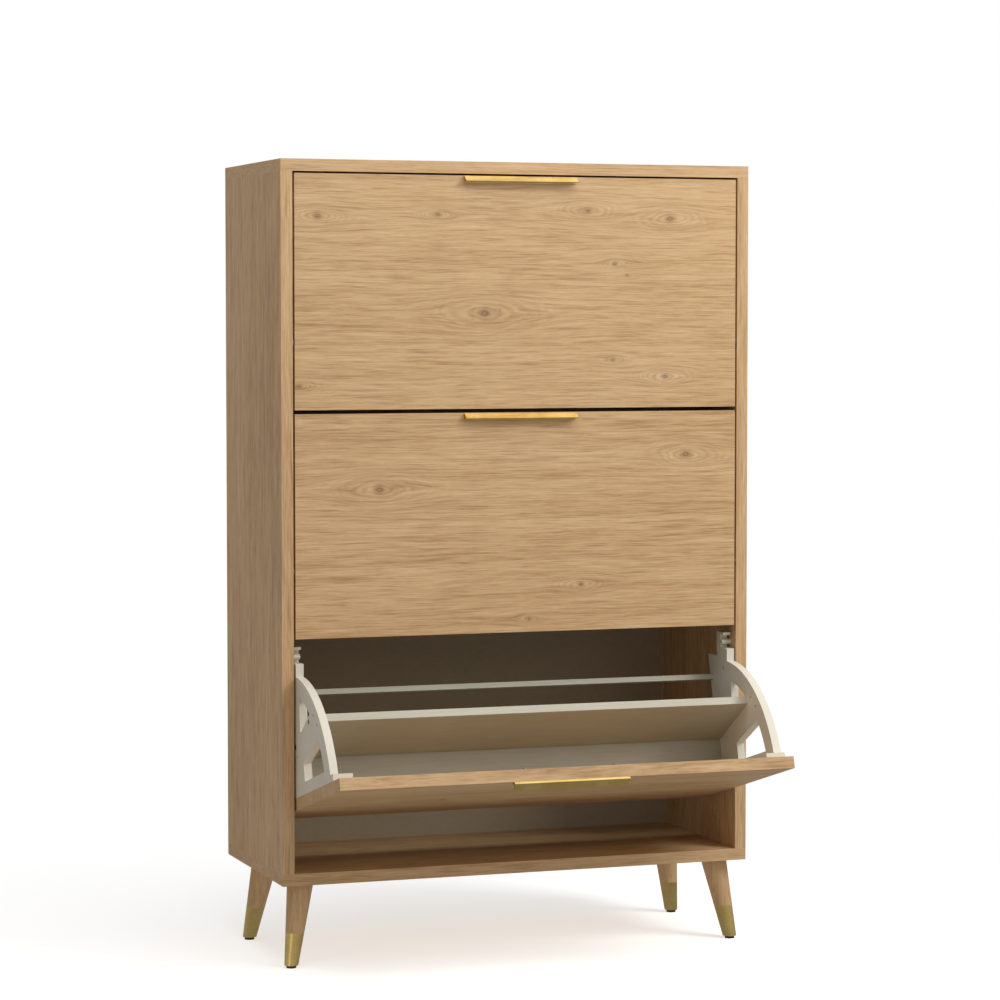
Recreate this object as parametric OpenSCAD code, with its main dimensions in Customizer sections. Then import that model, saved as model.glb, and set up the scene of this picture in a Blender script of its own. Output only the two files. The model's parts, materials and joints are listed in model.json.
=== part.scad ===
// Shoe cabinet with three tip-out flaps on a carcass with four splayed legs.
// Millimetres, +Z up, X to the right, Y to the back. The origin is on the floor, under the middle of the whole
// object as it stands with the lower flap open. The modules work in the cabinet's own frame, where the front
// plane of the carcass is y = 0, and in_frame() moves them to the origin above.

/* [Carcass] */
// Width over the side panels
cab_w = 750; // [640:1:900]
// Depth of the panels
cab_d = 320; // [300:1:380]
// Height of the box on its legs
box_h = 1080; // [1072:1:1140]
// Thickness of the top, bottom and side panels
panel_t = 18; // [16:1:20]
// Thickness of the back panel
back_t = 4; // [3:0.5:5]
// Distance from the rear edge to the back panel
back_inset = 12; // [8:1:16]
// Height of the two rear rails
rail_h = 70; // [50:1:80]

/* [Legs] */
// Height of the legs with their glides
leg_h = 126; // [100:1:160]
// Diameter at the top of a leg
leg_top_d = 40; // [34:1:44]
// Diameter at the foot of a leg
leg_tip_d = 21; // [18:1:26]
// Sideways and fore-and-aft lean of a leg, top to foot
leg_splay = 20; // [8:1:22]
// Height of the brass ferrule
ferrule_h = 48; // [30:1:60]

/* [Flaps] */
// Thickness of a door
door_t = 18; // [16:1:20]
// Gap beside a door
side_gap = 3; // [2.5:0.5:4]
// Gap between one door and the next
door_gap = 6; // [5:0.5:7]
// Height of the middle bay
middle_bay_h = 340; // [340:1:348]
// Height of the upper bay
upper_bay_h = 356; // [344:1:360]
// Height of a pivot above its door's lower edge
pivot_up = 99; // [92:1:100]
// Angle that a flap opens
open_angle = 75; // [70:1:78]
// Length of the edge pull
pull_w = 180; // [120:1:300]

/* [Rack inside a flap] */
// Thickness of the fan-shaped side plates
plate_t = 12; // [10:1:14]
// Outer radius of the fan
fan_r = 208; // [204:1:210]
// Width of the fan's rim
rim_w = 27; // [24:1:30]
// Thickness of the divider, the floor board and the heel rail
board_t = 12; // [10:1:12]
// Length of the divider from its foot to its top edge
divider_len = 122; // [100:1:130]
// Lean of the divider, away from the door
divider_lean = 18; // [12:1:22]

/* [Hidden] */
$fn = 48;

// Colours
oak = [0.80, 0.65, 0.46];
hardboard = [0.45, 0.39, 0.30];
beech = [0.78, 0.62, 0.42];
cream = [0.87, 0.84, 0.74];
brass = [0.80, 0.66, 0.32];
steel = [0.62, 0.62, 0.62];
nylon = [0.92, 0.91, 0.87];
black_plastic = [0.10, 0.10, 0.10];

// Carcass
e = 1;                                        // how far a cutter runs past the face that it cuts
fit = 0.05;                                   // radial clearance of a pin, screw or dowel in its hole
inner_x = cab_w / 2 - panel_t;                // inner face of the right side panel
floor_z = leg_h + panel_t;                    // upper face of the bottom panel
ceiling_z = leg_h + box_h - panel_t;          // lower face of the top panel
back_y = cab_d - back_inset - back_t;         // front face of the back panel
groove_depth = 6;
rail_t = 18;
rail_y = back_y - rail_t;
wall_hole_d = 6;
wall_hole_x = 250;
upper_rail_z = ceiling_z - rail_h;
lower_rail_z = floor_z;

// Knock-down fittings between the side panels and the top and bottom panels
cam_y = [80, 250];
dowel_y = [140, 200];
cam_d = 15;
cam_depth = 12.5;
cam_from_end = 34;
cam_cover_d = 17;
cam_cover_t = 0.8;
bolt_d = 6;
bolt_thread_d = 5;
bolt_thread_len = 11;
bolt_head_d = 7;
bolt_bore_d = 8;
dowel_d = 8;
dowel_in_panel = 11;
dowel_in_side = 22;
rail_dowel_spread = 20;
side_mid_x = inner_x + panel_t / 2;

// Bays and flaps, counted from the lowest: 0 lower, 1 middle, 2 upper
lower = 0;
middle = 1;
upper = 2;
lower_bay_h = box_h - 2 * panel_t - middle_bay_h - upper_bay_h;
bay_h = [lower_bay_h, middle_bay_h, upper_bay_h];
bay_z = [floor_z, floor_z + lower_bay_h, floor_z + lower_bay_h + middle_bay_h];
rest_angle = [open_angle, 0, 0];              // the lower flap stands open
pivot_y = door_t / 2;
door_half_w = inner_x - side_gap;
function door_h(i) = bay_h[i] - door_gap;
function pivot_z(i) = bay_z[i] + door_gap / 2 + pivot_up;
function door_up(i) = door_h(i) - pivot_up;   // from a pivot to its door's upper edge

// The open lower door reaches furthest forward with the upper edge of its outer face
front_most_y = pivot_y - pivot_y * cos(open_angle) - door_up(lower) * sin(open_angle);
mid_y = (cab_d + front_most_y) / 2;

// Pivots and stops
pin_d = 8;
pin_in_door = 20;
pin_out = 14;
bush_d = 12;
bush_len = 12;
bush_flange_d = 18;
bush_flange_t = 2;
peg_d = 8;
peg_in_side = 12;
peg_play = 0.3;                               // between a peg and what stops on it
stop_peg_at = [pivot_y + peg_d / 2 + peg_play, 221];

// Rack: closed positions are [back from the pivot, up from the pivot]
rack_drop = 11;                               // the plates' lower edge below the pivot
fan_centre = [-14, -6];
flange_w = 18;
flange_t = 4;
flange_len = 209;
tab_t = 10;
tab_z = [fan_centre[1] + fan_r - 6, fan_centre[1] + fan_r + 10];
plate_x = door_half_w - plate_t;              // inner face of the right plate
board_half_w = plate_x;
floor_board_y = [pivot_y + flange_t, 88];
heel_rail_y = [165, 173];
divider_foot = [70, board_t - rack_drop + board_t * sin(divider_lean) + 0.3];
window_corner_r = 4;
window_corner_steps = 6;

// Stop block and hook arm of a plate: open positions are [back from the pivot, up from the pivot]
block_front = -pivot_y;
block_top = 212;
arm_front = stop_peg_at[0] + peg_d / 2 + peg_play;
arm_top = 236;
arm_w = 13;
nose_len = 12;
nose_t = 4;

// Screws
screw_d = 4;
screw_head_d = 8;
screw_head_h = 2.4;
recess_w = 1;
recess_depth = 1.4;
board_screw_len = 36;
flange_screw_len = 16;
flange_screw_z = [16, 94, 172];
flange_screw_x = plate_x - flange_w / 2;
tab_screw_z = (tab_z[0] + tab_z[1]) / 2;
tab_screw_len = 22;
pull_screw_x = 70;
pull_screw_down = 6;
pull_screw_d = 4;
pull_screw_head_d = 8;
pull_screw_head_h = 2.4;
spare_hole_d = 5;
spare_holes = [[176, 42], [115, 134], [99, 149], [68, 30]];
function divider_spot(s) = [
    divider_foot[0] + board_t / 2 * cos(divider_lean) + s * sin(divider_lean),
    divider_foot[1] - board_t / 2 * sin(divider_lean) + s * cos(divider_lean)
];
board_mid_z = board_t / 2 - rack_drop;
board_screw_spots = [
    divider_spot(26), divider_spot(divider_len - 12),
    [26, board_mid_z], [58, board_mid_z], [(heel_rail_y[0] + heel_rail_y[1]) / 2, board_mid_z]
];

// Edge pull: a mounting leg on the door's face and a lip that slopes forward and down
pull_leg_t = 3;
pull_leg_h = 10.5;
pull_drop = 0.6;                              // below the door's upper edge
pull_lip = [12, 8];                           // forward and down, to the lip's outer edge
pull_sheet = 2;

// Legs
glide_d = 15;
glide_h = 4;
glide_stem_d = 3;
glide_stem_len = 14;
ferrule_t = 1.2;
leg_x = cab_w / 2 - 38;
leg_front_y = 40;
leg_back_y = cab_d - 80;
leg_bolt_d = 8;
leg_bolt_in_leg = 32;
insert_d = 12;
insert_len = 15;

// ---------- Placing ----------

module in_frame() {
    translate([0, -mid_y, 0]) children();
}

module both_sides() {
    children();
    mirror([1, 0, 0]) children();
}

// Puts a flap, drawn closed round its pivot, where flap i is at rest
module in_flap(i) {
    in_frame() translate([0, pivot_y, pivot_z(i)]) rotate([rest_angle[i], 0, 0]) children();
}

// Turns an outline of [back, up] points into a solid that runs along +X from x
module along_x(x, len) {
    translate([x, 0, 0]) rotate([90, 0, 90]) linear_extrude(height = len) children();
}

module rod_x(x, len, d, at = [0, 0]) {
    translate([x, at[0], at[1]]) rotate([0, 90, 0]) cylinder(d = d, h = len);
}

module rod_y(y, len, d, at = [0, 0]) {
    translate([at[0], y + len, at[1]]) rotate([90, 0, 0]) cylinder(d = d, h = len);
}

// ---------- Fasteners ----------

// Countersunk wood screw: the head's face at z = 0, the point downwards
module wood_screw(len) {
    point = 5;
    difference() {
        union() {
            translate([0, 0, -screw_head_h]) cylinder(d1 = screw_d, d2 = screw_head_d, h = screw_head_h);
            translate([0, 0, point - len]) cylinder(d = screw_d, h = len - point - screw_head_h);
            translate([0, 0, -len]) cylinder(d1 = 0.6, d2 = screw_d, h = point);
        }
        for (a = [0, 90])
            rotate([0, 0, a]) translate([-recess_w / 2, -screw_d / 2, -recess_depth])
                cube([recess_w, screw_d, recess_depth + e]);
    }
}

module wood_screw_hole(len) {
    d = screw_d + 2 * fit;
    head_d = screw_head_d + 2 * fit;
    translate([0, 0, -screw_head_h]) cylinder(d1 = d, d2 = head_d, h = screw_head_h);
    translate([0, 0, -len - e]) cylinder(d = d, h = len + e);
    cylinder(d = head_d, h = e);
}

// Screws through the right plate into the boards' ends
module at_board_screws() {
    for (p = board_screw_spots)
        translate([door_half_w, p[0], p[1]]) rotate([0, 90, 0]) children();
}

// Screws through the right plate's flange and tab into the door
module at_flange_screws() {
    for (z = flange_screw_z)
        translate([flange_screw_x, pivot_y + flange_t, z]) rotate([-90, 0, 0]) children();
}

module at_tab_screw() {
    translate([flange_screw_x, pivot_y + tab_t, tab_screw_z]) rotate([-90, 0, 0]) children();
}

// ---------- Carcass ----------

// Everything that is bored into one end of a side panel, from that end at z = 0 downwards
module side_end_bores() {
    for (y = cam_y) {
        translate([side_mid_x, y, -cam_from_end]) cylinder(d = bolt_bore_d, h = cam_from_end + e);
        rod_x(inner_x - e, cam_depth + e, cam_d, [y, -cam_from_end]);
    }
    for (y = dowel_y)
        translate([side_mid_x, y, -dowel_in_side]) cylinder(d = dowel_d + 2 * fit, h = dowel_in_side + e);
}

// Holes in a top or bottom panel's face, from that face at z = 0 upwards
module panel_bores() {
    for (y = cam_y)
        translate([side_mid_x, y, -e]) cylinder(d = bolt_thread_d + 2 * fit, h = bolt_thread_len + e + 0.5);
    for (y = dowel_y)
        translate([side_mid_x, y, -e]) cylinder(d = dowel_d + 2 * fit, h = dowel_in_panel + e + 0.5);
}

module back_groove(len) {
    translate([-len / 2, back_y - fit, -e]) cube([len, back_t + 2 * fit, groove_depth + e]);
}

module right_side() {
    difference() {
        translate([inner_x, 0, floor_z]) cube([panel_t, cab_d, ceiling_z - floor_z]);
        translate([inner_x - e, back_y - fit, floor_z - e])
            cube([groove_depth + e, back_t + 2 * fit, ceiling_z - floor_z + 2 * e]);
        translate([0, 0, ceiling_z]) side_end_bores();
        translate([0, 0, floor_z]) mirror([0, 0, 1]) side_end_bores();
        for (i = [lower, middle, upper]) {
            rod_x(inner_x - e, bush_len + e + 0.3, bush_d + 2 * fit, [pivot_y, pivot_z(i)]);
            rod_x(inner_x - e, peg_in_side + e + 0.3, peg_d + 2 * fit, [pivot_y, pivot_z(i)] + stop_peg_at);
        }
        for (z = [upper_rail_z, lower_rail_z], s = [-1, 1])
            rod_x(inner_x - e, dowel_in_panel + e + 0.5, dowel_d + 2 * fit,
                [rail_y + rail_t / 2, z + rail_h / 2 + s * rail_dowel_spread]);
    }
}

module rear_rail(z) {
    difference() {
        translate([-inner_x, rail_y, z]) cube([2 * inner_x, rail_t, rail_h]);
        both_sides() for (s = [-1, 1])
            rod_x(inner_x - dowel_in_side, dowel_in_side + e, dowel_d + 2 * fit,
                [rail_y + rail_t / 2, z + rail_h / 2 + s * rail_dowel_spread]);
    }
}

module wall_holes() {
    both_sides() rod_y(rail_y - e, rail_t + back_t + 2 * e, wall_hole_d, [wall_hole_x, upper_rail_z + rail_h / 2]);
}

module top_panel() {
    color(oak) in_frame() difference() {
        translate([-cab_w / 2, 0, ceiling_z]) cube([cab_w, cab_d, panel_t]);
        translate([0, 0, ceiling_z]) {
            both_sides() panel_bores();
            back_groove(2 * (inner_x + groove_depth));
        }
    }
}

module bottom_panel() {
    color(oak) in_frame() difference() {
        translate([-cab_w / 2, 0, leg_h]) cube([cab_w, cab_d, panel_t]);
        translate([0, 0, floor_z]) mirror([0, 0, 1]) {
            both_sides() panel_bores();
            back_groove(2 * (inner_x + groove_depth));
        }
        at_legs() translate([0, 0, leg_h - e]) cylinder(d = insert_d + 2 * fit, h = insert_len + e + 0.5);
    }
}

module right_side_panel() {
    color(oak) in_frame() right_side();
}

module left_side_panel() {
    color(oak) in_frame() mirror([1, 0, 0]) right_side();
}

module back_panel() {
    slack = 0.5;
    half_w = inner_x + groove_depth - slack;
    color(hardboard) in_frame() difference() {
        translate([-half_w, back_y, floor_z - groove_depth + slack])
            cube([2 * half_w, back_t, ceiling_z - floor_z + 2 * (groove_depth - slack)]);
        wall_holes();
    }
}

module upper_rear_rail() {
    color(oak) in_frame() difference() {
        rear_rail(upper_rail_z);
        wall_holes();
    }
}

module lower_rear_rail() {
    color(oak) in_frame() rear_rail(lower_rail_z);
}

module dowels() {
    color(beech) in_frame() both_sides() {
        for (y = dowel_y) {
            translate([side_mid_x, y, ceiling_z - dowel_in_side]) cylinder(d = dowel_d, h = dowel_in_side + dowel_in_panel);
            translate([side_mid_x, y, floor_z - dowel_in_panel]) cylinder(d = dowel_d, h = dowel_in_side + dowel_in_panel);
        }
        for (z = [upper_rail_z, lower_rail_z], s = [-1, 1])
            rod_x(inner_x - dowel_in_side, dowel_in_side + dowel_in_panel, dowel_d,
                [rail_y + rail_t / 2, z + rail_h / 2 + s * rail_dowel_spread]);
    }
}

// One bolt, screwed up into the top panel from its face at z = 0, with its head inside the cam
module cam_bolt() {
    head_h = 3;
    translate([0, 0, 0.1]) cylinder(d = bolt_thread_d, h = bolt_thread_len);
    translate([0, 0, -cam_from_end + head_h / 2]) cylinder(d = bolt_d - 2, h = cam_from_end - head_h / 2 + 0.1);
    translate([0, 0, -cam_from_end + cam_d / 2 + e]) cylinder(d = bolt_d, h = cam_from_end - cam_d / 2 - 2 * e);
    translate([0, 0, -cam_from_end - head_h / 2]) cylinder(d = bolt_head_d - 1, h = head_h);
}

module cam_bolts() {
    color(steel) in_frame() both_sides() for (y = cam_y) {
        translate([side_mid_x, y, ceiling_z]) cam_bolt();
        translate([side_mid_x, y, floor_z]) mirror([0, 0, 1]) cam_bolt();
    }
}

// One cam lock on the axis x, its slotted face at x = 0, with a mouth for the bolt towards +Z
module cam_lock() {
    difference() {
        rod_x(0, cam_depth - 0.5, cam_d - 2 * fit);
        translate([panel_t / 2, 0, -bolt_head_d / 2]) cylinder(d = bolt_head_d, h = cam_d);
        for (a = [0, 90])
            rotate([a, 0, 0]) translate([-e, -recess_w, -4]) cube([e + 2, 2 * recess_w, 8]);
    }
}

module cam_locks() {
    color(steel) in_frame() both_sides() for (y = cam_y) {
        translate([inner_x, y, ceiling_z - cam_from_end]) cam_lock();
        translate([inner_x, y, floor_z + cam_from_end]) mirror([0, 0, 1]) cam_lock();
    }
}

module cam_covers() {
    color(oak) in_frame() both_sides() for (y = cam_y, z = [floor_z + cam_from_end, ceiling_z - cam_from_end])
        rod_x(inner_x - cam_cover_t, cam_cover_t, cam_cover_d, [y, z]);
}

module pivot_bushes() {
    color(nylon) in_frame() both_sides() for (i = [lower, middle, upper])
        translate([inner_x, pivot_y, pivot_z(i)]) difference() {
            union() {
                rod_x(0, bush_len, bush_d);
                rod_x(-bush_flange_t, bush_flange_t, bush_flange_d);
            }
            rod_x(-bush_flange_t - e, bush_flange_t + bush_len + 2 * e, pin_d + 2 * fit);
        }
}

// A peg crosses its plate's thickness: the closed door stops on it, and so does the open flap's hook arm
module stop_pegs() {
    reach = side_gap + plate_t;
    color(nylon) in_frame() both_sides() for (i = [lower, middle, upper])
        rod_x(inner_x - reach, reach + peg_in_side, peg_d, [pivot_y, pivot_z(i)] + stop_peg_at);
}

// ---------- Legs ----------

// The four leg places: x and y of the top of each leg
module at_legs() {
    for (sx = [-1, 1], y = [leg_front_y, leg_back_y]) translate([sx * leg_x, y, 0]) children();
}

// A leg's tapered bar, sunk by "inset" below its surface, between the heights z0 and z1.
// sx and sy are -1 or 1: the way that it leans.
module leg_bar(sx, sy, z0, z1, inset) {
    run = 12;                                 // how far the bar runs on past each end before it is cut
    len = leg_h - glide_h;
    side = leg_splay * sqrt(2);
    slant = sqrt(len * len + side * side);
    taper = (leg_top_d - leg_tip_d) / 2 / slant;
    intersection() {
        translate([0, 0, leg_h]) rotate(a = atan(side / len), v = [sy, -sx, 0])
            translate([0, 0, -slant - run])
                cylinder(r1 = leg_tip_d / 2 - taper * run - inset, r2 = leg_top_d / 2 + taper * run - inset,
                    h = slant + 2 * run);
        translate([-100, -100, z0]) cube([200, 200, z1 - z0]);
    }
}

module leg(sx, sy) {
    y = sy < 0 ? leg_front_y : leg_back_y;
    top_z = glide_h + ferrule_h;
    color(oak) in_frame() translate([sx * leg_x, y, 0]) difference() {
        union() {
            leg_bar(sx, sy, top_z, leg_h, 0);
            leg_bar(sx, sy, glide_h, top_z, ferrule_t);
        }
        translate([0, 0, leg_h - leg_bolt_in_leg]) cylinder(d = leg_bolt_d + 2 * fit, h = leg_bolt_in_leg + e);
        translate([sx * leg_splay, sy * leg_splay, 0])
            cylinder(d = glide_stem_d + 2 * fit, h = glide_h + glide_stem_len + 0.5);
    }
}

module ferrule(sx, sy) {
    y = sy < 0 ? leg_front_y : leg_back_y;
    color(brass) in_frame() translate([sx * leg_x, y, 0]) difference() {
        leg_bar(sx, sy, glide_h, glide_h + ferrule_h, 0);
        leg_bar(sx, sy, glide_h - e, glide_h + ferrule_h + e, ferrule_t);
    }
}

module front_left_leg() {
    leg(-1, -1);
}

module front_right_leg() {
    leg(1, -1);
}

module back_left_leg() {
    leg(-1, 1);
}

module back_right_leg() {
    leg(1, 1);
}

module front_left_ferrule() {
    ferrule(-1, -1);
}

module front_right_ferrule() {
    ferrule(1, -1);
}

module back_left_ferrule() {
    ferrule(-1, 1);
}

module back_right_ferrule() {
    ferrule(1, 1);
}

module floor_glides() {
    color(black_plastic) in_frame() for (sx = [-1, 1], sy = [-1, 1])
        translate([sx * (leg_x + leg_splay), (sy < 0 ? leg_front_y : leg_back_y) + sy * leg_splay, 0]) {
            cylinder(d = glide_d, h = glide_h);
            cylinder(d = glide_stem_d, h = glide_h + glide_stem_len);
        }
}

module leg_bolts() {
    color(steel) in_frame() at_legs()
        translate([0, 0, leg_h - leg_bolt_in_leg + 1]) cylinder(d = leg_bolt_d, h = leg_bolt_in_leg + insert_len - 3);
}

module leg_insert_nuts() {
    color(steel) in_frame() at_legs() translate([0, 0, leg_h]) difference() {
        cylinder(d = insert_d, h = insert_len);
        translate([0, 0, -e]) cylinder(d = leg_bolt_d + 2 * fit, h = insert_len + 2 * e);
    }
}

// ---------- Parts of a flap, drawn closed round the pivot ----------

module door(i) {
    color(oak) in_flap(i) difference() {
        translate([-door_half_w, -pivot_y, -pivot_up]) cube([2 * door_half_w, door_t, door_h(i)]);
        both_sides() {
            rod_x(door_half_w - pin_in_door - 0.5, pin_in_door + e + 0.5, pin_d + 2 * fit);
            at_flange_screws() wood_screw_hole(flange_screw_len);
            at_tab_screw() wood_screw_hole(tab_screw_len);
            rod_y(-pivot_y - e, door_t + 2 * e, pull_screw_d + 2 * fit, [pull_screw_x, door_up(i) - pull_screw_down]);
        }
    }
}

// Outline of the pull in [back, up], from the door's outer upper edge
module pull_outline() {
    run = [pull_lip[0] - pull_leg_t, pull_lip[1] - pull_drop];
    along = run / norm(run);
    root = pull_sheet / along[0];             // the sheet's height where the lip leaves the leg
    polygon([
        [0, -pull_drop],
        [-pull_leg_t, -pull_drop],
        [-pull_lip[0], -pull_lip[1]],
        [-pull_lip[0] + pull_sheet * along[1], -pull_lip[1] - pull_sheet * along[0]],
        [-pull_leg_t, -pull_drop - root],
        [-pull_leg_t, -pull_leg_h],
        [0, -pull_leg_h]
    ]);
}

module pull(i) {
    color(brass) in_flap(i) difference() {
        translate([0, -pivot_y, door_up(i)]) along_x(-pull_w / 2, pull_w) pull_outline();
        both_sides()
            rod_y(-pivot_y - pull_leg_t - e, pull_leg_t + 2 * e, pull_screw_d + 2 * fit,
                [pull_screw_x, door_up(i) - pull_screw_down]);
    }
}

// Block and arm, laid out as they stand on the open flap
module arm_outline() {
    root = 60;
    shoulder = 14;                            // how far the plate's shoulder behind the arm lies below the block
    translate([block_front, block_top - root]) square([arm_front - block_front + e, root]);
    translate([arm_front, arm_top - root]) square([arm_w, root]);
    translate([arm_front, block_top - root]) square([root, root - shoulder]);
    translate([arm_front - nose_len, arm_top - nose_t]) square([nose_len + e, nose_t]);
}

module fan(radius) {
    translate(fan_centre) circle(r = radius, $fn = 128);
}

// Outline of a side plate in [back, up] from the pivot, on the closed flap
module plate_outline() {
    difference() {
        intersection() {
            union() {
                fan(fan_r);
                rotate([0, 0, -open_angle]) arm_outline();
            }
            translate([pivot_y, -rack_drop]) square(fan_r + 100);
        }
        intersection() {
            fan(fan_r - rim_w);
            union() {
                window([[31, 69], [52, 69], [87, 199], [31, 199]]);
                window([[105, 64], [166, 72], [166, 199], [156, 199]]);
            }
        }
    }
}

function outward_angle(a, b) = atan2(b[1] - a[1], b[0] - a[0]) - 90;

// A convex polygon, listed anticlockwise, that is grown by window_corner_r and so has round corners
module window(corners) {
    n = len(corners);
    polygon([
        for (k = [0:n - 1])
            let (before = outward_angle(corners[(k + n - 1) % n], corners[k]))
            let (turn = (outward_angle(corners[k], corners[(k + 1) % n]) - before + 360) % 360)
            for (step = [0:window_corner_steps])
                let (a = before + turn * step / window_corner_steps)
                corners[k] + window_corner_r * [cos(a), sin(a)]
    ]);
}

module right_plate() {
    difference() {
        union() {
            along_x(plate_x, plate_t) plate_outline();
            translate([plate_x - flange_w, pivot_y, -rack_drop]) cube([flange_w + e, flange_t, flange_len]);
            translate([plate_x - flange_w, pivot_y, tab_z[0]])
                cube([flange_w + plate_t, tab_t, tab_z[1] - tab_z[0]]);
        }
        at_board_screws() wood_screw_hole(board_screw_len);
        at_flange_screws() wood_screw_hole(flange_screw_len);
        at_tab_screw() wood_screw_hole(tab_screw_len);
        for (p = spare_holes) rod_x(plate_x - e, plate_t + 2 * e, spare_hole_d, p);
    }
}

module plate_right_of(i) {
    color(cream) in_flap(i) right_plate();
}

module plate_left_of(i) {
    color(cream) in_flap(i) mirror([1, 0, 0]) right_plate();
}

module divider(i) {
    color(cream) in_flap(i) difference() {
        translate([-board_half_w, divider_foot[0], divider_foot[1]]) rotate([-divider_lean, 0, 0])
            cube([2 * board_half_w, board_t, divider_len]);
        both_sides() at_board_screws() wood_screw_hole(board_screw_len);
    }
}

module floor_board(i) {
    color(cream) in_flap(i) difference() {
        translate([-board_half_w, floor_board_y[0], -rack_drop])
            cube([2 * board_half_w, floor_board_y[1] - floor_board_y[0], board_t]);
        both_sides() at_board_screws() wood_screw_hole(board_screw_len);
    }
}

module heel_rail(i) {
    color(cream) in_flap(i) difference() {
        translate([-board_half_w, heel_rail_y[0], -rack_drop])
            cube([2 * board_half_w, heel_rail_y[1] - heel_rail_y[0], board_t]);
        both_sides() at_board_screws() wood_screw_hole(board_screw_len);
    }
}

module pivot_pins(i) {
    color(steel) in_flap(i) both_sides() rod_x(door_half_w - pin_in_door, pin_in_door + pin_out, pin_d);
}

module rack_screws(i) {
    color(steel) in_flap(i) both_sides() {
        at_board_screws() wood_screw(board_screw_len);
        at_flange_screws() wood_screw(flange_screw_len);
        at_tab_screw() wood_screw(tab_screw_len);
    }
}

module pull_screws(i) {
    shank = door_t + pull_leg_t - 0.5;
    color(steel) in_flap(i) both_sides() translate([0, 0, door_up(i) - pull_screw_down]) difference() {
        union() {
            rod_y(pivot_y - shank, shank, pull_screw_d, [pull_screw_x, 0]);
            rod_y(pivot_y, pull_screw_head_h, pull_screw_head_d, [pull_screw_x, 0]);
        }
        for (a = [0, 90])
            translate([pull_screw_x, pivot_y + pull_screw_head_h - recess_depth, 0]) rotate([0, a, 0])
                translate([-screw_d / 2, 0, -recess_w / 2]) cube([screw_d, recess_depth + e, recess_w]);
    }
}

// ---------- The three flaps' nodes ----------

module upper_door() { door(upper); }
module upper_pull() { pull(upper); }
module upper_left_plate() { plate_left_of(upper); }
module upper_right_plate() { plate_right_of(upper); }
module upper_divider() { divider(upper); }
module upper_floor_board() { floor_board(upper); }
module upper_heel_rail() { heel_rail(upper); }
module upper_pivot_pins() { pivot_pins(upper); }
module upper_rack_screws() { rack_screws(upper); }
module upper_pull_screws() { pull_screws(upper); }

module middle_door() { door(middle); }
module middle_pull() { pull(middle); }
module middle_left_plate() { plate_left_of(middle); }
module middle_right_plate() { plate_right_of(middle); }
module middle_divider() { divider(middle); }
module middle_floor_board() { floor_board(middle); }
module middle_heel_rail() { heel_rail(middle); }
module middle_pivot_pins() { pivot_pins(middle); }
module middle_rack_screws() { rack_screws(middle); }
module middle_pull_screws() { pull_screws(middle); }

module lower_door() { door(lower); }
module lower_pull() { pull(lower); }
module lower_left_plate() { plate_left_of(lower); }
module lower_right_plate() { plate_right_of(lower); }
module lower_divider() { divider(lower); }
module lower_floor_board() { floor_board(lower); }
module lower_heel_rail() { heel_rail(lower); }
module lower_pivot_pins() { pivot_pins(lower); }
module lower_rack_screws() { rack_screws(lower); }
module lower_pull_screws() { pull_screws(lower); }

top_panel();
bottom_panel();
left_side_panel();
right_side_panel();
back_panel();
upper_rear_rail();
lower_rear_rail();
dowels();
cam_bolts();
cam_locks();
cam_covers();
pivot_bushes();
stop_pegs();
front_left_leg();
front_right_leg();
back_left_leg();
back_right_leg();
front_left_ferrule();
front_right_ferrule();
back_left_ferrule();
back_right_ferrule();
floor_glides();
leg_bolts();
leg_insert_nuts();
upper_door();
upper_pull();
upper_left_plate();
upper_right_plate();
upper_divider();
upper_floor_board();
upper_heel_rail();
upper_pivot_pins();
upper_rack_screws();
upper_pull_screws();
middle_door();
middle_pull();
middle_left_plate();
middle_right_plate();
middle_divider();
middle_floor_board();
middle_heel_rail();
middle_pivot_pins();
middle_rack_screws();
middle_pull_screws();
lower_door();
lower_pull();
lower_left_plate();
lower_right_plate();
lower_divider();
lower_floor_board();
lower_heel_rail();
lower_pivot_pins();
lower_rack_screws();
lower_pull_screws();
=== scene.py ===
"""Looks of the shoe cabinet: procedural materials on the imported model, a pale studio and the camera."""

import json
import math
import random

import bpy
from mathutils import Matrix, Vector


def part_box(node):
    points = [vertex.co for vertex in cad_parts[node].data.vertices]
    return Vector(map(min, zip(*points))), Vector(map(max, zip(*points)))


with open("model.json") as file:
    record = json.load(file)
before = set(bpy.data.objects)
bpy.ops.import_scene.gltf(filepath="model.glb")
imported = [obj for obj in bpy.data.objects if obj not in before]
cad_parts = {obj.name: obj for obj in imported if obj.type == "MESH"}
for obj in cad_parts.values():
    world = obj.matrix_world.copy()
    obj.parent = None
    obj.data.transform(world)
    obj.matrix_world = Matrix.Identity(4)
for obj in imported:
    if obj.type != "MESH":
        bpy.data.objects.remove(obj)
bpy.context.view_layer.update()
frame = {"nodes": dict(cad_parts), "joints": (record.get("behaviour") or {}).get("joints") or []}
NODES = frame["nodes"]
FLAPS = ("upper", "middle", "lower")
OPEN_ANGLE = math.radians(75)

# The front plane of the carcass, which the camera's place is counted from
FRONT_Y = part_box("left_side_panel")[0].y


# ---------- Node helpers ----------

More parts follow.
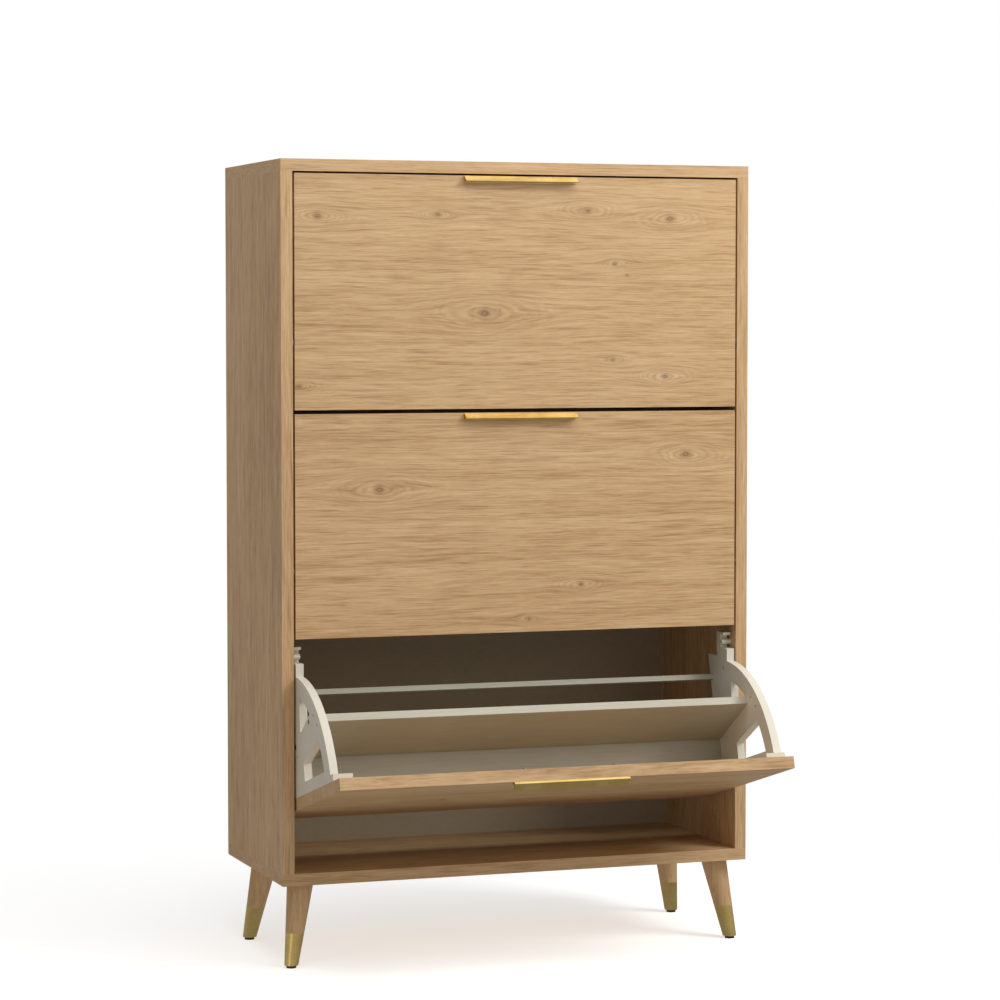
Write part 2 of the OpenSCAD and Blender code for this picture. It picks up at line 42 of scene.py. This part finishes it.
class Graph:
    """A material's node tree, with short calls that add a node and link what they are given."""

    def __init__(self, name):
        self.material = bpy.data.materials.new(name)
        self.material.use_nodes = True
        self.tree = self.material.node_tree
        self.tree.nodes.clear()
        self.shader = self.tree.nodes.new("ShaderNodeBsdfPrincipled")
        output = self.tree.nodes.new("ShaderNodeOutputMaterial")
        self.tree.links.new(self.shader.outputs["BSDF"], output.inputs["Surface"])

    def feed(self, socket, value):
        if isinstance(value, bpy.types.NodeSocket):
            self.tree.links.new(value, socket)
        else:
            socket.default_value = value

    def set(self, **values):
        for key, value in values.items():
            self.feed(self.shader.inputs[key.replace("_", " ")], value)

    def node(self, kind, inputs=None, **settings):
        made = self.tree.nodes.new("ShaderNode" + kind)
        for key, value in settings.items():
            setattr(made, key, value)
        for key, value in (inputs or {}).items():
            self.feed(made.inputs[key], value)
        return made

    def math(self, operation, a, b=0.0, c=0.0):
        return self.node("Math", {0: a, 1: b, 2: c}, operation=operation).outputs[0]

    def vector(self, operation, a, b):
        return self.node("VectorMath", {0: a, 1: b}, operation=operation).outputs[0]

    def place(self):
        """The point in metres in the shared frame."""
        return self.node("TexCoord").outputs["Object"]

    def noise(self, vector, scale, detail, rough=0.5):
        inputs = {"Vector": vector, "Scale": scale, "Detail": detail, "Roughness": rough}
        return self.node("TexNoise", inputs).outputs["Fac"]

    def ramp(self, value, *stops):
        """stops are (position, colour or grey)."""
        made = self.node("ValToRGB", {"Fac": value})
        elements = made.color_ramp.elements
        while len(elements) > 1:
            elements.remove(elements[-1])
        for k, (position, colour) in enumerate(stops):
            element = elements[0] if k == 0 else elements.new(position)
            element.position = position
            rgb = (colour,) * 3 if isinstance(colour, (int, float)) else colour
            element.color = (*rgb, 1.0)
        return made.outputs["Color"]

    def mix(self, factor, a, b):
        made = self.node("Mix", data_type="RGBA", blend_type="MIX")
        self.feed(made.inputs["Factor"], factor)
        for name, value in (("A", a), ("B", b)):
            socket = [s for s in made.inputs if s.name == name and s.type == "RGBA"][0]
            self.feed(socket, (*value, 1.0) if isinstance(value, tuple) else value)
        return [s for s in made.outputs if s.type == "RGBA"][0]

    def roughness(self, field, spread, least):
        """least where the field is 0, and spread more where it is 1."""
        self.set(Roughness=self.math("MULTIPLY_ADD", field, spread, least))

    def bump(self, height, strength, distance):
        inputs = {"Height": height, "Strength": strength, "Distance": distance}
        self.set(Normal=self.node("Bump", inputs).outputs["Normal"])


def srgb(code):
    """A hex colour such as C8A67F in linear values."""
    parts = [int(code[k:k + 2], 16) / 255 for k in (0, 2, 4)]
    return tuple(p / 12.92 if p <= 0.04045 else ((p + 0.055) / 1.055) ** 2.4 for p in parts)


# ---------- Oak ----------

# Grain directions: the turn that brings a board's grain onto X
ALONG_X = (0.0, 0.0, 0.0)
ALONG_Z = (0.0, math.pi / 2, 0.0)

OAK_DARK = srgb("B08A60")
OAK_MID = srgb("C8A478")
OAK_LIGHT = srgb("D9B88E")
OAK_PORE = srgb("93704A")
OAK_KNOT = srgb("7B5C3C")
OAK_SHADES = ((0.40, OAK_DARK), (0.50, OAK_MID), (0.61, OAK_LIGHT))
OAK_SPECULAR = 0.32

# Depth of the pores in metres
PORE_RELIEF = 0.0004

# Each board takes its grain from another place in the same noise, up to this many metres off each way
GRAIN_SHIFT = 9.0

# Bends of the grain: scales per metre along, through and across it, detail, and height in metres
WAVE = ((2.4, 3.0, 8.0), 3.0, 0.009)
RIPPLE = ((15.0, 20.0, 70.0), 2.0, 0.0030)

# Layers of the grain, broad to fine: scales per metre as above, detail and roughness
GRAIN_LAYERS = {
    "bands": ((1.3, 9.0, 30.0), 3.0, 0.55),
    "grain": ((5.5, 60.0, 160.0), 4.0, 0.60),
    "streaks": ((15.0, 200.0, 460.0), 3.0, 0.62),
    "fibres": ((34.0, 500.0, 900.0), 2.0, 0.60),
    "pores": ((60.0, 800.0, 1700.0), 2.0, 0.55),
}
SHARES = {"bands": 0.20, "grain": 0.22, "streaks": 0.32, "fibres": 0.26}

# Dark marks that are cut from a layer: where they end on its scale, their strength and colour
MARKS = (
    ("grain", (0.34, 0.43), 0.16, OAK_DARK),
    ("streaks", (0.32, 0.42), 0.30, OAK_PORE),
    ("pores", (0.30, 0.40), 0.34, OAK_PORE),
)

# A knot, in shares of its size: reach of its halo and of its core, each along and across the grain
KNOT_HALO = (5.4, 1.7)
KNOT_CORE = (0.50, 0.36)
KNOT_PUSH = 1.9
KNOT_SHADES = ((0.04, 0.45), (0.20, 1.0), (0.34, 0.45), (0.75, 0.10), (1.0, 0.0))
RING_PHASE = 13.0
RING_WOBBLE = 9.0
RING_STRENGTH = 0.34
WOBBLE_SCALES = (26.0, 60.0, 60.0)
CORE_WOBBLE = 0.9
CORE_SHARE = 0.33
KNOT_STRENGTH = 0.78


def board_space(g, turn, pivot=None):
    """Coordinates in metres with X along the grain and Z across it."""
    at = g.place()
    if pivot is not None:
        at = g.vector("SUBTRACT", at, pivot)
        at = g.node("VectorRotate", {"Vector": at, "Angle": -OPEN_ANGLE}, rotation_type="X_AXIS").outputs[0]
    if turn != ALONG_X:
        at = g.node("VectorRotate", {"Vector": at, "Rotation": turn}, rotation_type="EULER_XYZ").outputs[0]
    return at


def knot_distance(g, x, z, knot, reach):
    """Squared distance from a knot in units of its reach, and the part of it across the grain."""
    kx, kz, size = knot
    dx = g.math("DIVIDE", g.math("SUBTRACT", x, kx), size * reach[0])
    dz = g.math("DIVIDE", g.math("SUBTRACT", z, kz), size * reach[1])
    return g.math("ADD", g.math("MULTIPLY", dx, dx), g.math("MULTIPLY", dz, dz)), dz


def knot_field(g, at, knots):
    """Bends the grain round each knot. Returns the grain's shift, the knots' darkness and their rings."""
    bend, dark, rings = 0.0, 0.0, 0.0
    parts = g.node("SeparateXYZ", {"Vector": at})
    x, z = parts.outputs[0], parts.outputs[2]
    wobble = g.math("SUBTRACT", g.noise(g.vector("MULTIPLY", at, WOBBLE_SCALES), 1.0, 3.0), 0.5)
    for knot in knots:
        square, across = knot_distance(g, x, z, knot, KNOT_HALO)
        near = g.math("EXPONENT", g.math("MULTIPLY", square, -1.0))
        push = g.math("MULTIPLY", g.math("MULTIPLY", near, across), -knot[2] * KNOT_PUSH)
        bend = g.math("ADD", bend, push)
        phase = g.math("MULTIPLY", g.math("SQRT", square), RING_PHASE)
        phase = g.math("MULTIPLY_ADD", wobble, RING_WOBBLE, phase)
        wave = g.math("POWER", g.math("ABSOLUTE", g.math("SINE", phase)), 3.0)
        rings = g.math("MAXIMUM", rings, g.math("MULTIPLY", wave, near))
        core = g.math("SQRT", knot_distance(g, x, z, knot, KNOT_CORE)[0])
        core = g.math("MULTIPLY_ADD", wobble, CORE_WOBBLE, core)
        dark = g.math("MAXIMUM", dark, g.ramp(g.math("MULTIPLY", core, CORE_SHARE), *KNOT_SHADES))
    return bend, dark, rings


def grain_bend(g, flow, bend):
    """Slow sideways bend of the grain, from one entry such as WAVE."""
    scales, detail, height = bend
    field = g.noise(g.vector("MULTIPLY", flow, scales), 1.0, detail, 0.5)
    return g.math("MULTIPLY", g.math("SUBTRACT", field, 0.5), height)


def oak(name, turn=ALONG_X, knots=(), pivot=None, contrast=1.0):
    """Flat-sawn oak veneer, matt lacquer. knots are (along, across, size) in metres in its board space."""
    rng = random.Random(name)
    shift = tuple(rng.uniform(-GRAIN_SHIFT, GRAIN_SHIFT) for _ in range(3))
    g = Graph("oak_" + name)
    at = board_space(g, turn, pivot)
    bend, knot, rings = knot_field(g, at, knots)
    flow = g.vector("ADD", at, shift)
    lift = g.math("ADD", g.math("ADD", grain_bend(g, flow, WAVE), grain_bend(g, flow, RIPPLE)), bend)
    flow = g.vector("ADD", flow, g.node("CombineXYZ", {"Z": lift}).outputs[0])
    layers = {
        key: g.noise(g.vector("MULTIPLY", flow, scales), 1.0, detail, rough)
        for key, (scales, detail, rough) in GRAIN_LAYERS.items()
    }

    field = 0.0
    for key, share in SHARES.items():
        field = g.math("MULTIPLY_ADD", layers[key], share, field)
    field = g.math("MULTIPLY_ADD", g.math("SUBTRACT", field, 0.5), contrast, 0.5)
    colour = g.ramp(field, *OAK_SHADES)
    for key, (full, none), strength, shade in MARKS:
        mark = g.ramp(layers[key], (full, 1.0), (none, 0.0))
        colour = g.mix(g.math("MULTIPLY", mark, strength * contrast), colour, shade)
    if knots:
        colour = g.mix(g.math("MULTIPLY", rings, RING_STRENGTH), colour, OAK_PORE)
        colour = g.mix(g.math("MULTIPLY", knot, KNOT_STRENGTH), colour, OAK_KNOT)
    g.set(Base_Color=colour)
    g.roughness(layers["streaks"], 0.16, 0.44)
    g.set(Specular_IOR_Level=OAK_SPECULAR)
    height = g.math("MULTIPLY_ADD", layers["streaks"], 0.5, g.math("MULTIPLY", layers["pores"], 0.5))
    g.bump(height, 0.20, PORE_RELIEF)
    return g.material


# ---------- Other materials ----------

# Fine textures: scales per metre, three of them along, through and across the marks
BRUSH_SCALES = (30.0, 2600.0, 2600.0)
LINEN_SCALES = (18.0, 420.0, 420.0)
FIBRE_SCALES = (90.0, 400.0, 700.0)
SPARK_SCALE = 900.0
BLOOM_SCALE = 220.0

# Their depths in metres
FINE_RELIEF = 0.0002
SPARK_RELIEF = 0.00012


def brass(name):
    """Satin brass brushed along X."""
    g = Graph("brass_" + name)
    at = g.place()
    brush = g.noise(g.vector("MULTIPLY", at, BRUSH_SCALES), 1.0, 3.0, 0.6)
    cloud = g.noise(at, 38.0, 3.0, 0.5)
    g.set(Base_Color=g.ramp(cloud, (0.3, srgb("D2B066")), (0.7, srgb("E2C680"))))
    g.roughness(brush, 0.18, 0.20)
    g.set(Metallic=1.0, Anisotropic=0.4)
    g.bump(brush, 0.10, FINE_RELIEF)
    return g.material


def moulded(name, low, high):
    """Injection-moulded plastic with a fine spark texture."""
    g = Graph("moulded_" + name)
    at = g.place()
    cloud = g.noise(at, 9.0, 3.0, 0.5)
    spark = g.noise(at, SPARK_SCALE, 2.0, 0.6)
    g.set(Base_Color=g.ramp(cloud, (0.3, low), (0.7, high)))
    g.roughness(spark, 0.14, 0.41)
    g.bump(spark, 0.35, SPARK_RELIEF)
    return g.material


def laminate(name):
    """Board with a plain cream laminate that has a faint linen grain."""
    g = Graph("laminate_" + name)
    at = g.place()
    grain = g.noise(g.vector("MULTIPLY", at, LINEN_SCALES), 1.0, 3.0, 0.6)
    cloud = g.noise(at, 5.0, 2.0, 0.5)
    field = g.math("ADD", g.math("MULTIPLY", grain, 0.6), g.math("MULTIPLY", cloud, 0.4))
    g.set(Base_Color=g.ramp(field, (0.32, srgb("AAA693")), (0.68, srgb("BDB9A8"))))
    g.roughness(grain, 0.15, 0.42)
    g.bump(grain, 0.15, FINE_RELIEF)
    return g.material


def hardboard(name):
    """Smooth board under a grey-beige foil with short fibres."""
    g = Graph("hardboard_" + name)
    at = g.place()
    fibre = g.noise(g.vector("MULTIPLY", at, FIBRE_SCALES), 1.0, 3.0, 0.6)
    g.set(Base_Color=g.ramp(fibre, (0.25, srgb("A99A80")), (0.75, srgb("B6A88F"))))
    g.roughness(fibre, 0.20, 0.55)
    g.bump(fibre, 0.12, FINE_RELIEF)
    return g.material


def zinc(name):
    """Zinc-plated steel with a faint bloom."""
    g = Graph("zinc_" + name)
    at = g.place()
    bloom = g.noise(at, BLOOM_SCALE, 3.0, 0.6)
    g.set(Base_Color=g.ramp(bloom, (0.3, srgb("77756F")), (0.7, srgb("A19F98"))))
    g.roughness(bloom, 0.25, 0.22)
    g.set(Metallic=1.0)
    g.bump(bloom, 0.12, FINE_RELIEF)
    return g.material


# ---------- Materials on the CAD nodes ----------

# Radius of the rounded edges, in metres
BOARD_EDGE = 0.0006
LAMINATE_EDGE = 0.0005
PLASTIC_EDGE = 0.0007
PULL_EDGE = 0.0003
FERRULE_EDGE = 0.0004

# Faces that meet at more than this have a rounded edge between them
EDGE_ANGLE = math.radians(50)

# Knots of each door: share of its width, share of its height, size in metres
KNOTS = {
    "upper": [(0.42, 0.41, 0.015), (0.655, 0.855, 0.009), (0.845, 0.825, 0.011), (0.05, 0.82, 0.008),
              (0.316, 0.832, 0.006), (0.717, 0.627, 0.006), (0.745, 0.577, 0.004), (0.712, 0.21, 0.005),
              (0.835, 0.135, 0.008), (0.01, 0.10, 0.006)],
    "middle": [(0.184, 0.66, 0.012), (0.884, 0.80, 0.011), (0.64, 0.21, 0.008), (0.52, 0.06, 0.005)],
    "lower": [(0.30, 0.45, 0.010), (0.75, 0.62, 0.007)],
}


def dress(node, material, bevel=0.0):
    """Puts one material on a node and rounds its edges a little."""
    piece = NODES[node]
    piece.data.materials.clear()
    piece.data.materials.append(material)
    if bevel:
        edge = piece.modifiers.new("edge", "BEVEL")
        edge.width = bevel
        edge.segments = 2
        edge.limit_method = "ANGLE"
        edge.angle_limit = EDGE_ANGLE
        edge.harden_normals = True


def door_knots(flap, spots):
    """Turns spots, written as in KNOTS, into (along, across, size) in metres in the door's board space."""
    lo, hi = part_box(flap + "_door")
    low, high = lo.z, hi.z
    if flap == "lower":
        # Heights count from the hinge. The lower edge is as far under it as the shut middle door's is
        shut_lo, shut_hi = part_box("middle_door")
        thick = shut_hi.y - shut_lo.y
        low = shut_lo.z - joint_place("middle")[2]
        high = low + (hi.z - lo.z - thick * math.sin(OPEN_ANGLE)) / math.cos(OPEN_ANGLE)
    return [(lo.x + u * (hi.x - lo.x), low + v * (high - low), size) for u, v, size in spots]


def joint_place(flap):
    return next(tuple(j["pos_m"]) for j in frame["joints"] if j["name"] == flap + "_flap_tilt")


def dress_flap(flap, plastic, board, metal, pull_metal):
    pivot = joint_place(flap) if flap == "lower" else None
    door_oak = oak(flap + "_door", knots=door_knots(flap, KNOTS[flap]), pivot=pivot)
    dress(flap + "_door", door_oak, BOARD_EDGE)
    dress(flap + "_pull", pull_metal, PULL_EDGE)
    for side in ("left", "right"):
        dress(f"{flap}_{side}_plate", plastic, PLASTIC_EDGE)
    for piece in ("divider", "floor_board", "heel_rail"):
        dress(f"{flap}_{piece}", board, LAMINATE_EDGE)
    for piece in ("pivot_pins", "rack_screws", "pull_screws"):
        dress(f"{flap}_{piece}", metal)


def dress_carcass(metal, pull_metal):
    for panel in ("top_panel", "bottom_panel"):
        dress(panel, oak(panel, ALONG_X), BOARD_EDGE)
    for side in ("left", "right"):
        dress(side + "_side_panel", oak(side + "_side_panel", ALONG_Z), BOARD_EDGE)
    foil = hardboard("foil")
    dress("back_panel", foil)
    for rail in ("upper_rear_rail", "lower_rear_rail"):
        dress(rail, foil, BOARD_EDGE)
    for corner in ("front_left", "front_right", "back_left", "back_right"):
        dress(corner + "_leg", oak(corner + "_leg", ALONG_Z, contrast=0.7))
        dress(corner + "_ferrule", pull_metal, FERRULE_EDGE)
    dress("floor_glides", moulded("glide", srgb("1A1917"), srgb("26241F")))
    dress("pivot_bushes", moulded("bush", srgb("4A3A28"), srgb("5A4733")))
    dress("stop_pegs", moulded("peg", srgb("D8D4C6"), srgb("E6E2D6")))
    for piece in ("cam_covers", "dowels"):
        dress(piece, oak(piece, ALONG_Z))
    for piece in ("cam_bolts", "cam_locks", "leg_bolts", "leg_insert_nuts"):
        dress(piece, metal)


# ---------- Studio and camera ----------

# The floor, in metres and in strength of its own glow
FLOOR_REACH = 1.35
FADE_FROM = 0.30
FADE_TO = FLOOR_REACH - 0.05
NEAR_GLOW = 0.55
RIM_POINTS = 96

# Soft boxes: place, target, size in metres and power in watts
SOFTBOXES = {
    "key": ((2.1, -1.95, 2.6), (0.1, 0.0, 0.7), (1.4, 1.4), 60.0),
    "front_fill": ((1.9, -4.2, 2.3), (0.0, 0.0, 0.7), (3.0, 2.4), 20.0),
    "left_fill": ((-3.2, -2.2, 1.2), (0.0, 0.0, 0.4), (1.2, 2.0), 7.0),
    "overhead": ((0.0, -0.9, 3.3), (0.0, -0.2, 0.0), (2.6, 2.2), 44.0),
}

# The camera: its place from the middle of the front plane, then its tilt down and its turn to the right
CAMERA_PLACE = (-1.6667, -4.6197, 0.9619)
CAMERA_TILT = 0.0541
CAMERA_TURN = 0.3400
LENS_MM = 116.71
SENSOR_MM = 36.0
SIGHT_M = 60.0

# Strength of the room: what the camera sees, its soft light, and what glossy faces reflect of it. The last
# two are from below and from above
ROOM_SEEN = 1.0
ROOM_LIGHT = (0.54, 0.25)
ROOM_SHINE = (0.30, 0.76)

WHITE = (1.0, 1.0, 1.0, 1.0)
WARM_WHITE = (1.0, 0.96, 0.90, 1.0)


def make_floor():
    """White paper that glows more with distance, so that it runs into the white of the room."""
    g = Graph("studio_floor")
    at = g.place()
    far = g.node("VectorMath", {0: at}, operation="LENGTH").outputs["Value"]
    inputs = {"Value": far, "From Min": FADE_FROM, "From Max": FADE_TO}
    fade = g.node("MapRange", inputs, interpolation_type="SMOOTHSTEP").outputs["Result"]
    cloud = g.noise(at, 3.0, 2.0, 0.5)
    paper = g.ramp(cloud, (0.3, 0.88), (0.7, 0.90))
    g.set(Base_Color=g.mix(fade, paper, (0.0, 0.0, 0.0)))
    g.set(Roughness=1.0, Specular_IOR_Level=0.0, Emission_Color=WHITE)
    g.set(Emission_Strength=g.math("MULTIPLY_ADD", fade, 1.0 - NEAR_GLOW, NEAR_GLOW))
    mesh = bpy.data.meshes.new("studio_floor")
    turns = [2 * math.pi * k / RIM_POINTS for k in range(RIM_POINTS)]
    rim = [(FLOOR_REACH * math.cos(a), FLOOR_REACH * math.sin(a), 0.0) for a in turns]
    mesh.from_pydata(rim, [], [tuple(range(len(rim)))])
    floor = bpy.data.objects.new("studio_floor", mesh)
    bpy.context.scene.collection.objects.link(floor)
    mesh.materials.append(g.material)
    floor.visible_diffuse = False
    floor.visible_glossy = False


def make_softbox(name, place, target, size, power):
    light = bpy.data.lights.new(name, "AREA")
    light.shape = "RECTANGLE"
    light.size, light.size_y = size
    light.energy = power
    lamp = bpy.data.objects.new(name, light)
    lamp.location = place
    lamp.rotation_mode = "QUATERNION"
    lamp.rotation_quaternion = (Vector(target) - Vector(place)).to_track_quat("-Z", "Y")
    bpy.context.scene.collection.objects.link(lamp)


def make_world():
    """A white room, with a strength each for the camera, for soft light and for glossy faces."""
    world = bpy.data.worlds.new("studio")
    bpy.context.scene.world = world
    world.use_nodes = True
    tree = world.node_tree
    tree.nodes.clear()

    def add(kind, **inputs):
        made = tree.nodes.new("ShaderNode" + kind)
        for name, value in inputs.items():
            socket = made.inputs[name.replace("_", " ")]
            if isinstance(value, bpy.types.NodeSocket):
                tree.links.new(value, socket)
            else:
                socket.default_value = value
        return made

    path = add("LightPath")
    up = add("SeparateXYZ", Vector=add("TexCoord").outputs["Generated"]).outputs["Z"]
    low, high = ROOM_LIGHT
    warm = add("MapRange", Value=up, From_Min=-0.3, From_Max=0.3, To_Min=low, To_Max=high)
    low, high = ROOM_SHINE
    bright = add("MapRange", Value=up, From_Min=-0.3, From_Max=0.6, To_Min=low, To_Max=high)
    soft = add("Background", Color=WARM_WHITE, Strength=warm.outputs["Result"])
    glossy = add("Background", Color=WHITE, Strength=bright.outputs["Result"])
    camera = add("Background", Color=WHITE, Strength=ROOM_SEEN)
    blend = add("MixShader", Fac=path.outputs["Is Glossy Ray"])
    tree.links.new(soft.outputs[0], blend.inputs[1])
    tree.links.new(glossy.outputs[0], blend.inputs[2])
    final = add("MixShader", Fac=path.outputs["Is Camera Ray"])
    tree.links.new(blend.outputs[0], final.inputs[1])
    tree.links.new(camera.outputs[0], final.inputs[2])
    tree.links.new(final.outputs[0], add("OutputWorld").inputs["Surface"])


def make_camera():
    """Placed from the perspective of the cabinet's straight edges, counted from its front plane."""
    data = bpy.data.cameras.new("camera")
    data.sensor_width = SENSOR_MM
    data.lens = LENS_MM
    data.clip_end = SIGHT_M
    camera = bpy.data.objects.new("camera", data)
    camera.location = Vector(CAMERA_PLACE) + Vector((0.0, FRONT_Y, 0.0))
    camera.rotation_euler = (math.pi / 2 - CAMERA_TILT, 0.0, -CAMERA_TURN)
    bpy.context.scene.collection.objects.link(camera)
    bpy.context.scene.camera = camera


def make_studio():
    make_floor()
    make_world()
    for name, (place, target, size, power) in SOFTBOXES.items():
        make_softbox(name, place, target, size, power)
    view = bpy.context.scene.view_settings
    view.view_transform = "Standard"
    view.look = "None"


# ---------- The scene ----------

make_camera()
make_studio()
steel = zinc("fittings")
satin_brass = brass("satin")
cream = moulded("cream", srgb("D6CFBF"), srgb("E2DCCD"))
cream_board = laminate("cream")
dress_carcass(steel, satin_brass)
for flap in FLAPS:
    dress_flap(flap, cream, cream_board, steel, satin_brass)
